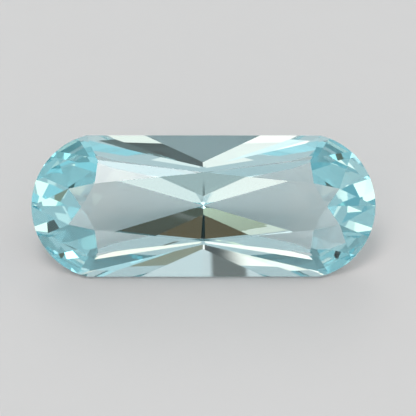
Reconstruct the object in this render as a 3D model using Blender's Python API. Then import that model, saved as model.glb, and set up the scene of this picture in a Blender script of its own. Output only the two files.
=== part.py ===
"""A cut sapphire: one long stone with straight sides and rounded ends, lying on its pavilion.

The stone is cut the way a faceter cuts it. A blank with the girdle's outline is ground flat on
one plane after another, each given by its azimuth, its slope from the girdle and a point that
it meets. The design is in millimetres, with the girdle level, the table up and the culet down.
The finished stone is then laid over onto the keel of its pavilion, a narrow flat facet along
the middle of one long side, which it rests on.
"""
import math

import bmesh
import bpy
from mathutils import Matrix, Vector

MM = 0.001
ON_PLANE = 1e-6                 # a corner this close to a cut, in mm, lies on it
SAME_CORNER = 0.002             # corners closer than this, in mm, are one corner

# Outline of the girdle from above: two straight sides, joined by a round arc at each end.
LENGTH = 12.2
WIDTH = 5.0
STRAIGHT_LENGTH = 8.3
ARC_STEPS = 24
CAP_LENGTH = (LENGTH - STRAIGHT_LENGTH) / 2
ARC_RADIUS = (CAP_LENGTH ** 2 + (WIDTH / 2) ** 2) / (2 * CAP_LENGTH)
ARC_CENTRE = LENGTH / 2 - ARC_RADIUS
ARC_SWEEP = math.asin(WIDTH / 2 / ARC_RADIUS)

# Heights, in mm. The crown and the pavilion start at the two edges of the girdle.
GIRDLE_THICKNESS = 0.15
CROWN_HEIGHT = 1.04
PAVILION_DEPTH = 2.42
BLANK_HEIGHT = 8.0
KEEL_CUT = 0.0012               # how far the keel is ground in past the long side's ridge

# Points where facets meet, as (x, y) in the first quarter of the stone.
END_TIP = (LENGTH / 2, 0.0)
END_SHOULDER = (5.85, 1.1)
END_CORNER = (5.25, 1.88)
SIDE_END = (STRAIGHT_LENGTH / 2, WIDTH / 2)
SIDE_MIDDLE = (0.0, WIDTH / 2)
SIDE_KEEL = (0.0, WIDTH / 2 - KEEL_CUT)
TABLE_CORNER = (3.83, 0.816)
CULET = (0.0, 0.0)

# Each facet is a name, an azimuth from +X and a slope from the girdle, in degrees, and the
# point that it meets. It is repeated in the stone's four quarters.
CROWN_FACETS = (
    ("crown side main", 90.0, 38.8, SIDE_END),
    ("crown corner main", 50.9, 31.2, END_CORNER),
    ("crown end main", 0.0, 30.0, END_TIP),
    ("upper girdle, tip", 12.7, 33.5, END_TIP),
    ("upper girdle, shoulder", 37.7, 34.0, END_SHOULDER),
    ("upper girdle, side", 61.3, 36.3, SIDE_END),
)
STAR_FACETS = (
    ("side star", 84.2, 23.1, TABLE_CORNER),
    ("end star", 29.5, 20.3, TABLE_CORNER),
)
PAVILION_MAINS = (
    ("pavilion end main", 0.0, 19.8, CULET),
    ("pavilion corner main", 76.8, 35.15, CULET),
)
KEEL_SLOPE = 45.3
PAVILION_SIDES = (
    ("pavilion side", 89.0, KEEL_SLOPE, SIDE_MIDDLE),
    ("keel", 90.0, KEEL_SLOPE, SIDE_KEEL),
)
# These have no point of their own: they meet the girdle where its arc faces their azimuth.
LOWER_GIRDLE_FACETS = (
    ("lower girdle, corner", 54.0, 34.0),
    ("lower girdle, shoulder", 30.0, 30.0),
    ("lower girdle, tip", 9.0, 24.6),
)

SAPPHIRE_COLOUR = (0.62, 0.86, 0.90, 1.0)
SAPPHIRE_IOR = 1.77


def rim_point(angle):
    """The point of the right end's arc that faces an angle from +X, up to the arc's end."""
    x = ARC_CENTRE + ARC_RADIUS * math.cos(angle)
    y = ARC_RADIUS * math.sin(angle)
    return x, y


def outline():
    """The girdle's corners, in order round the stone."""
    corners = []
    for end in (1, -1):
        for step in range(ARC_STEPS + 1):
            x, y = rim_point(ARC_SWEEP * (2 * step / ARC_STEPS - 1))
            corners.append((end * x, end * y))
    return corners


def make_blank():
    """A tall prism with the girdle's outline."""
    blank = bmesh.new()
    bottom = [blank.verts.new((x, y, -BLANK_HEIGHT / 2)) for x, y in outline()]
    base = blank.faces.new(bottom)
    risen = bmesh.ops.extrude_face_region(blank, geom=[base])
    top = [item for item in risen["geom"] if isinstance(item, bmesh.types.BMVert)]
    bmesh.ops.translate(blank, verts=top, vec=(0, 0, BLANK_HEIGHT))
    bmesh.ops.recalc_face_normals(blank, faces=blank.faces[:])
    return blank


def facet_normal(azimuth, slope, side):
    """The direction that a facet faces: side is 1 on the crown and -1 on the pavilion."""
    around, tilt = math.radians(azimuth), math.radians(slope)
    across = math.sin(tilt)
    return Vector((across * math.cos(around), across * math.sin(around), side * math.cos(tilt)))


def grind(stone, point, normal):
    """Grinds away what stands outside one plane, and leaves a flat facet there."""
    everything = stone.verts[:] + stone.edges[:] + stone.faces[:]
    cut = bmesh.ops.bisect_plane(stone, geom=everything, dist=ON_PLANE, plane_co=point,
                                 plane_no=normal, clear_outer=True)
    rim = [item for item in cut["geom_cut"] if isinstance(item, bmesh.types.BMEdge)]
    open_rim = [edge for edge in rim if edge.is_boundary]
    if open_rim:
        bmesh.ops.edgeloop_fill(stone, edges=open_rim)


def grind_quarters(stone, facet, height, side):
    """Grinds one facet in each of the stone's four quarters."""
    azimuth, slope, (x, y) = facet[1:]
    done = set()
    for flip_x in (1, -1):
        for flip_y in (1, -1):
            normal = facet_normal(azimuth, slope, side)
            normal = Vector((flip_x * normal.x, flip_y * normal.y, normal.z))
            key = tuple(round(value, 6) for value in normal)
            if key not in done:
                done.add(key)
                grind(stone, Vector((flip_x * x, flip_y * y, height)), normal)


def cut_stone():
    """The whole stone in millimetres, table up, with its girdle's middle at height 0."""
    crown_edge = GIRDLE_THICKNESS / 2
    pavilion_edge = -GIRDLE_THICKNESS / 2
    table = crown_edge + CROWN_HEIGHT
    culet = pavilion_edge - PAVILION_DEPTH
    stone = make_blank()
    for facet in PAVILION_MAINS:
        grind_quarters(stone, facet, culet, -1)
    for facet in PAVILION_SIDES:
        grind_quarters(stone, facet, pavilion_edge, -1)
    for facet in LOWER_GIRDLE_FACETS:
        meet = rim_point(math.radians(facet[1]))
        grind_quarters(stone, facet + (meet,), pavilion_edge, -1)
    for facet in CROWN_FACETS:
        grind_quarters(stone, facet, crown_edge, 1)
    grind(stone, Vector((0, 0, table)), Vector((0, 0, 1)))
    for facet in STAR_FACETS:
        grind_quarters(stone, facet, table, 1)
    bmesh.ops.remove_doubles(stone, verts=stone.verts[:], dist=SAME_CORNER)
    bmesh.ops.recalc_face_normals(stone, faces=stone.faces[:])
    return stone


def lay_down(stone):
    """Turns the stone about its length onto the keel, and sets it over the origin."""
    bmesh.ops.rotate(stone, verts=stone.verts[:], cent=(0, 0, 0),
                     matrix=Matrix.Rotation(math.radians(KEEL_SLOPE), 3, "X"))
    lowest = min(corner.co.z for corner in stone.verts)
    front = min(corner.co.y for corner in stone.verts)
    back = max(corner.co.y for corner in stone.verts)
    bmesh.ops.translate(stone, verts=stone.verts[:], vec=(0, -(front + back) / 2, -lowest))
    bmesh.ops.scale(stone, verts=stone.verts[:], vec=(MM, MM, MM))


def sapphire_material():
    """Clear, pale blue and glossy."""
    material = bpy.data.materials.new("sapphire")
    material.use_nodes = True
    shader = material.node_tree.nodes["Principled BSDF"]
    shader.inputs["Base Color"].default_value = SAPPHIRE_COLOUR
    shader.inputs["Roughness"].default_value = 0.0
    shader.inputs["Metallic"].default_value = 0.0
    shader.inputs["IOR"].default_value = SAPPHIRE_IOR
    shader.inputs["Transmission Weight"].default_value = 1.0
    return material


def clear_scene():
    for item in list(bpy.data.objects):
        bpy.data.objects.remove(item, do_unlink=True)


def build():
    clear_scene()
    stone = cut_stone()
    lay_down(stone)
    mesh = bpy.data.meshes.new("sapphire")
    stone.to_mesh(mesh)
    stone.free()
    mesh.materials.append(sapphire_material())
    sapphire = bpy.data.objects.new("sapphire", mesh)
    bpy.context.scene.collection.objects.link(sapphire)


build()
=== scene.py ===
import math

import bpy
from mathutils import Matrix, Vector


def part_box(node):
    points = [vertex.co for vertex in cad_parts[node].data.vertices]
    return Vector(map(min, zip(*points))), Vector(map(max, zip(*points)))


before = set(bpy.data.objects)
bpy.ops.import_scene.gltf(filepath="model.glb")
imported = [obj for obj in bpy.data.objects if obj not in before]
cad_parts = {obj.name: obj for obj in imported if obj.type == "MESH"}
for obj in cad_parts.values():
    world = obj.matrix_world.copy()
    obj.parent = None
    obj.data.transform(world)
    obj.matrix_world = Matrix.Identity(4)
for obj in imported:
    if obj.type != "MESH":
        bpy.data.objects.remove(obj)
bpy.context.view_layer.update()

mm = 0.001


# small helpers for node trees

def newNode(tree, kind, **values):
    node = tree.nodes.new(kind)
    for name, value in values.items():
        setattr(node, name, value)
    return node


def feed(tree, value, socket):
    # a node's output is linked, anything else is set
    if isinstance(value, bpy.types.NodeSocket):
        tree.links.new(value, socket)
    else:
        socket.default_value = value


def mathNode(tree, operation, first, second=0.0):
    node = newNode(tree, "ShaderNodeMath", operation=operation)
    feed(tree, first, node.inputs[0])
    feed(tree, second, node.inputs[1])
    return node.outputs[0]


def dotNode(tree, first, second):
    node = newNode(tree, "ShaderNodeVectorMath", operation="DOT_PRODUCT")
    feed(tree, first, node.inputs[0])
    feed(tree, second, node.inputs[1])
    return node.outputs["Value"]


def fadeNode(tree, value, start, end):
    # runs smoothly from 0 at start to 1 at end
    node = newNode(tree, "ShaderNodeMapRange", interpolation_type="SMOOTHSTEP")
    feed(tree, value, node.inputs["Value"])
    node.inputs["From Min"].default_value = start
    node.inputs["From Max"].default_value = end
    return node.outputs["Result"]


def mixNode(tree, factor, first, second):
    node = newNode(tree, "ShaderNodeMix", data_type="RGBA")
    feed(tree, factor, node.inputs[0])
    feed(tree, first, node.inputs[6])
    feed(tree, second, node.inputs[7])
    return node.outputs[2]


def noiseNode(tree, place, scale, detail=2.0):
    node = newNode(tree, "ShaderNodeTexNoise")
    feed(tree, place, node.inputs["Vector"])
    node.inputs["Scale"].default_value = scale
    node.inputs["Detail"].default_value = detail
    return node.outputs["Fac"]


# the stone's own directions: it leans over on its keel, with its table towards -Y

stonePose = {
    "keelSlope": 45.3,          # how far the table leans over, in degrees
    "tipShare": 0.999,          # points this far out along the stone are its two tips
}
lean = math.radians(stonePose["keelSlope"])
tableOut = Vector((0.0, -math.sin(lean), math.cos(lean)))      # out of the table
tableUp = Vector((0.0, math.cos(lean), math.sin(lean)))        # up the table's face
alongStone = Vector((1.0, 0.0, 0.0))


def girdleCentre():
    # the middle of the stone's widest plane, from the points at its two tips
    reach = stonePose["tipShare"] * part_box("sapphire")[1].x
    points = [vertex.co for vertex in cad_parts["sapphire"].data.vertices]
    tips = [point for point in points if abs(point.x) > reach]
    low = Vector(min(tip[i] for tip in tips) for i in range(3))
    high = Vector(max(tip[i] for tip in tips) for i in range(3))
    return (low + high) / 2


# camera, looking down at the table almost squarely

cameraSet = {
    "distance": 89 * mm,
    "frameWidth": 14.75 * mm,   # what the frame takes in at the stone
    "turn": -1.2,               # degrees towards -X from square to the table
    "rise": 1.4,                # degrees above square to the table
    "aimRight": 0.152 * mm,     # what it aims at, from the girdle's centre
    "aimUp": -0.071 * mm,
    "sensor": 36.0,             # in millimetres, as the lens is
    "nearest": 1 * mm,
    "farthest": 10.0,
}


def makeCamera():
    s = cameraSet
    turn, rise = math.radians(s["turn"]), math.radians(s["rise"])
    back = (tableOut + math.tan(turn) * alongStone + math.tan(rise) * tableUp).normalized()
    right = (alongStone - alongStone.dot(back) * back).normalized()
    turned = Matrix((right, back.cross(right), back)).transposed()
    aim = girdleCentre() + s["aimRight"] * alongStone + s["aimUp"] * tableUp
    data = bpy.data.cameras.new("camera")
    data.sensor_width = s["sensor"]
    data.lens = s["sensor"] * s["distance"] / s["frameWidth"]
    data.clip_start = s["nearest"]
    data.clip_end = s["farthest"]
    camera = bpy.data.objects.new("camera", data)
    camera.matrix_world = Matrix.Translation(aim + back * s["distance"]) @ turned.to_4x4()
    bpy.context.scene.collection.objects.link(camera)
    bpy.context.scene.camera = camera
    print("camera made, elevation", round(math.degrees(math.asin(back.z)), 1))


# floor: a sheet of pale paper that runs back to the tent

floorSet = {
    "size": 2.4,
    "drop": 0.002 * mm,         # just clear of the facet that rests on it
    "colour": (0.692, 0.680, 0.685, 1.0),
    "grainShade": 0.985,        # share of the colour that is left between the paper's fibres
    "grainScale": 900.0,        # per metre
    "grainDetail": 4.0,
    "roughness": 0.75,
    "specular": 0.2,
}


def makeFloor():
    s = floorSet
    half = s["size"] / 2
    corners = [(-half, -half, 0), (half, -half, 0), (half, half, 0), (-half, half, 0)]
    mesh = bpy.data.meshes.new("floor")
    mesh.from_pydata(corners, [], [(0, 1, 2, 3)])
    floor = bpy.data.objects.new("floor", mesh)
    floor.location.z = -s["drop"]
    bpy.context.scene.collection.objects.link(floor)
    material = bpy.data.materials.new("palePaper")
    material.use_nodes = True
    tree = material.node_tree
    shader = tree.nodes["Principled BSDF"]
    place = newNode(tree, "ShaderNodeTexCoord").outputs["Object"]
    grain = noiseNode(tree, place, s["grainScale"], s["grainDetail"])
    dark = tuple(s["grainShade"] * part for part in s["colour"][:3]) + (1.0,)
    feed(tree, mixNode(tree, grain, dark, s["colour"]), shader.inputs["Base Color"])
    shader.inputs["Roughness"].default_value = s["roughness"]
    shader.inputs["Specular IOR Level"].default_value = s["specular"]
    mesh.materials.append(material)
    print("floor made")


# studio: a light tent with softboxes, and with tinted and dark cards, which the facets mirror
# azimuth 0 is towards -Y, where the camera stands, and 90 is +X; all angles are in degrees
# later parts cover earlier ones, and soft is the width of a part's faded edge
# topLight and rearLight alone make a plain studio; the other parts are placed for this camera, so
# that single facets take their tones from them, and from elsewhere they fall on other facets

tentSet = {
    "colour": (0.63, 0.635, 0.64, 1.0),
    "strength": 1.0,
    "frontFade": 0.2,           # keeps a part's mirror image off the far side of the tent
}
tentParts = {
    "topLight": {"azimuth": -112, "elevation": 76, "width": 30, "height": 26, "soft": 6,
                 "colour": (4.5, 4.25, 4.15, 1.0)},
    "rearLight": {"azimuth": -162, "elevation": 34, "width": 46, "height": 20, "soft": 5,
                  "colour": (3.5, 3.3, 3.25, 1.0)},
    "leftSide": {"azimuth": -118, "elevation": 40, "width": 60, "height": 56, "soft": 14,
                 "colour": (0.22, 0.44, 0.49, 1.0)},
    "rightSide": {"azimuth": 118, "elevation": 46, "width": 60, "height": 44, "soft": 14,
                  "colour": (0.60, 0.83, 0.87, 1.0)},
    "leftRim": {"azimuth": -105, "elevation": 25, "width": 13, "height": 24, "soft": 4,
                "colour": (2.4, 1.75, 1.45, 1.0)},
    "rightRim": {"azimuth": 112, "elevation": 28, "width": 19, "height": 28, "soft": 5,
                 "colour": (2.1, 1.6, 1.3, 1.0)},
    "leftTip": {"azimuth": -43, "elevation": 26, "width": 9, "height": 9, "soft": 3,
                "colour": (2.1, 1.6, 1.3, 1.0)},
    "rightTip": {"azimuth": 46, "elevation": 25, "width": 6, "height": 7, "soft": 2,
                 "colour": (2.1, 1.6, 1.3, 1.0)},
    "leftHigh": {"azimuth": -77, "elevation": 62, "width": 10, "height": 7, "soft": 2,
                 "colour": (1.4, 1.15, 1.0, 1.0)},
    "rightHigh": {"azimuth": 43.5, "elevation": 53, "width": 5, "height": 3, "soft": 1,
                  "colour": (1.3, 1.08, 0.95, 1.0)},
    "frontFill": {"azimuth": 0, "elevation": 10, "width": 80, "height": 12, "soft": 5,
                  "colour": (1.7, 1.6, 1.55, 1.0)},
    "leftFront": {"azimuth": -62, "elevation": 42, "width": 14, "height": 12, "soft": 3,
                  "colour": (0.30, 0.50, 0.55, 1.0)},
    "backCard": {"azimuth": 180, "elevation": 2, "width": 50, "height": 9, "soft": 3,
                 "colour": (0.09, 0.09, 0.075, 1.0)},
    "upperCard": {"azimuth": 1.5, "elevation": 48.5, "width": 14, "height": 5, "soft": 1,
                  "colour": (0.58, 0.55, 0.53, 1.0)},
    "mainLight": {"azimuth": -25, "elevation": 37.8, "width": 11, "height": 7, "soft": 1.5,
                  "colour": (1.38, 1.10, 1.0, 1.0)},
    "highLight": {"azimuth": -45, "elevation": 51.5, "width": 20, "height": 6.5, "soft": 2,
                  "colour": (1.75, 1.35, 1.2, 1.0)},
    "rightLight": {"azimuth": 29, "elevation": 40, "width": 9, "height": 3.4, "soft": 0.8,
                   "colour": (1.18, 1.02, 0.96, 1.0)},
    "streakCard": {"azimuth": 29, "elevation": 34.5, "width": 8, "height": 4, "soft": 1.5,
                   "colour": (0.07, 0.075, 0.07, 1.0)},
    "lowCard": {"azimuth": 31, "elevation": 4, "width": 12, "height": 8, "soft": 3,
                "colour": (0.12, 0.13, 0.12, 1.0)},
    "creamCard": {"azimuth": 50, "elevation": 48.5, "width": 6, "height": 5, "soft": 1.5,
                  "colour": (1.65, 1.28, 1.08, 1.0)},
    "tanCard": {"azimuth": 36, "elevation": 48.3, "width": 7, "height": 4, "soft": 1,
                "colour": (0.36, 0.29, 0.20, 1.0)},
    "fanCard": {"azimuth": 36, "elevation": 43.5, "width": 8, "height": 3.6, "soft": 0.8,
                "colour": (0.13, 0.11, 0.08, 1.0)},
    "lensCard": {"azimuth": 1.5, "elevation": 43.6, "width": 14, "height": 4.4, "soft": 1,
                 "colour": (0.175, 0.095, 0.045, 1.0)},
    "lensGap": {"azimuth": 1.5, "elevation": 44.3, "width": 3.9, "height": 3.4, "soft": 0.3,
                "colour": (0.002, 0.002, 0.002, 1.0)},
    "upperGap": {"azimuth": 1.6, "elevation": 48.4, "width": 3.6, "height": 1.3, "soft": 0.5,
                 "colour": (0.02, 0.02, 0.02, 1.0)},
    "rearGap": {"azimuth": -179.65, "elevation": 54.9, "width": 0.8, "height": 3.0, "soft": 0.15,
                "colour": (0.02, 0.016, 0.01, 1.0)},
    "greenCard": {"azimuth": -31, "elevation": 45, "width": 7, "height": 3.5, "soft": 1,
                  "colour": (1.25, 1.15, 0.85, 1.0)},
    "wedgeCard": {"azimuth": -34, "elevation": 47.8, "width": 2.4, "height": 2.6, "soft": 0.8,
                  "colour": (0.06, 0.05, 0.045, 1.0)},
}


def outwards(azimuth, elevation):
    a, e = math.radians(azimuth), math.radians(elevation)
    return Vector((math.sin(a) * math.cos(e), -math.cos(a) * math.cos(e), math.sin(e)))


def tentPatch(tree, direction, part):
    # 1 inside a rectangle on the tent, seen from the stone, and 0 outside it
    middle = outwards(part["azimuth"], part["elevation"])
    right = Vector((0, 0, 1)).cross(middle).normalized()
    up = middle.cross(right)
    ahead = dotNode(tree, direction, middle)
    inside = fadeNode(tree, ahead, 0.0, tentSet["frontFade"])
    for axis, size in ((right, part["width"]), (up, part["height"])):
        offset = mathNode(tree, "ARCTAN2", dotNode(tree, direction, axis), ahead)
        offset = mathNode(tree, "ABSOLUTE", offset)
        edge, soft = math.radians(size / 2), math.radians(part["soft"])
        within = fadeNode(tree, offset, edge + soft / 2, edge - soft / 2)
        inside = mathNode(tree, "MULTIPLY", inside, within)
    return inside


def makeStudio():
    world = bpy.data.worlds.new("lightTent")
    bpy.context.scene.world = world
    world.use_nodes = True
    tree = world.node_tree
    background = tree.nodes["Background"]
    direction = newNode(tree, "ShaderNodeTexCoord").outputs["Generated"]
    colour = tentSet["colour"]
    for part in tentParts.values():
        colour = mixNode(tree, tentPatch(tree, direction, part), colour, part["colour"])
    feed(tree, colour, background.inputs["Color"])
    background.inputs["Strength"].default_value = tentSet["strength"]
    print("studio made,", len(tentParts), "parts on the tent")


# the sapphire

sapphireSet = {
    "ior": 1.77,
    "absorbColour": (0.15, 0.82, 0.90, 1.0),
    "absorbDensity": 74.0,      # per metre
    "clearColour": (1.0, 1.0, 1.0, 1.0),
    "zoneColour": (0.965, 0.992, 1.0, 1.0),     # the faint bands that the crystal grew with
    "zoneSpacing": 0.9 * mm,
    "zoneDistortion": 1.5,
    "polishSpacing": 0.02 * mm,     # fine lines that the lap leaves
    "polishStretch": (0.06, 1.0, 1.0),
    "polishRoughness": 0.008,
    "girdleStart": 0.10,        # share of a face's direction that is out of the table
    "girdleFull": 0.04,
    "girdleRoughness": 0.32,
    "girdleGrain": 0.03 * mm,
    "girdleDepth": 0.25,
}
wavesPerUnit = 20               # bands that Blender's wave texture puts in one unit


def girdleMask(tree):
    # the girdle is where the surface faces neither up nor down the stone
    s = sapphireSet
    turn = newNode(tree, "ShaderNodeVectorTransform", vector_type="NORMAL",
                   convert_from="WORLD", convert_to="OBJECT")
    facing = newNode(tree, "ShaderNodeNewGeometry").outputs["True Normal"]
    feed(tree, facing, turn.inputs["Vector"])
    tilt = mathNode(tree, "ABSOLUTE", dotNode(tree, turn.outputs["Vector"], tableOut))
    return fadeNode(tree, tilt, s["girdleStart"], s["girdleFull"])


def makeSapphire():
    s = sapphireSet
    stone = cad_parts["sapphire"]
    material = bpy.data.materials.new("sapphireCrystal")
    material.use_nodes = True
    tree = material.node_tree
    shader = tree.nodes["Principled BSDF"]
    shader.inputs["IOR"].default_value = s["ior"]
    shader.inputs["Transmission Weight"].default_value = 1.0
    place = newNode(tree, "ShaderNodeTexCoord").outputs["Object"]
    girdle = girdleMask(tree)

    # growth bands
    zones = newNode(tree, "ShaderNodeTexWave", wave_type="BANDS", bands_direction="DIAGONAL")
    feed(tree, place, zones.inputs["Vector"])
    zones.inputs["Scale"].default_value = 1 / (wavesPerUnit * s["zoneSpacing"])
    zones.inputs["Distortion"].default_value = s["zoneDistortion"]
    colour = mixNode(tree, zones.outputs["Fac"], s["clearColour"], s["zoneColour"])
    feed(tree, colour, shader.inputs["Base Color"])

    # polish lines on the facets, ground grain on the girdle
    stretch = newNode(tree, "ShaderNodeMapping")
    feed(tree, place, stretch.inputs["Vector"])
    stretch.inputs["Scale"].default_value = s["polishStretch"]
    polish = noiseNode(tree, stretch.outputs["Vector"], 1 / s["polishSpacing"])
    polishRough = mathNode(tree, "MULTIPLY", polish, s["polishRoughness"])
    groundRough = mathNode(tree, "MULTIPLY", girdle, s["girdleRoughness"])
    feed(tree, mathNode(tree, "MAXIMUM", polishRough, groundRough), shader.inputs["Roughness"])
    bump = newNode(tree, "ShaderNodeBump")
    feed(tree, noiseNode(tree, place, 1 / s["girdleGrain"]), bump.inputs["Height"])
    feed(tree, mathNode(tree, "MULTIPLY", girdle, s["girdleDepth"]), bump.inputs["Strength"])
    bump.inputs["Distance"].default_value = s["girdleGrain"]
    feed(tree, bump.outputs["Normal"], shader.inputs["Normal"])

    # the blue comes from depth
    depth = newNode(tree, "ShaderNodeVolumeAbsorption")
    depth.inputs["Color"].default_value = s["absorbColour"]
    depth.inputs["Density"].default_value = s["absorbDensity"]
    feed(tree, depth.outputs["Volume"], tree.nodes["Material Output"].inputs["Volume"])
    stone.data.materials.clear()
    stone.data.materials.append(material)
    print("sapphire dressed")


# how often light may turn inside the stone

lightPaths = {
    "max_bounces": 32,
    "glossy_bounces": 24,
    "transmission_bounces": 24,
    "diffuse_bounces": 4,
}


def setLightPaths():
    scene = bpy.context.scene
    for name, count in lightPaths.items():
        setattr(scene.cycles, name, count)
    scene.view_settings.view_transform = "Standard"
    print("light paths set")


makeCamera()
makeFloor()
makeStudio()
makeSapphire()
setLightPaths()
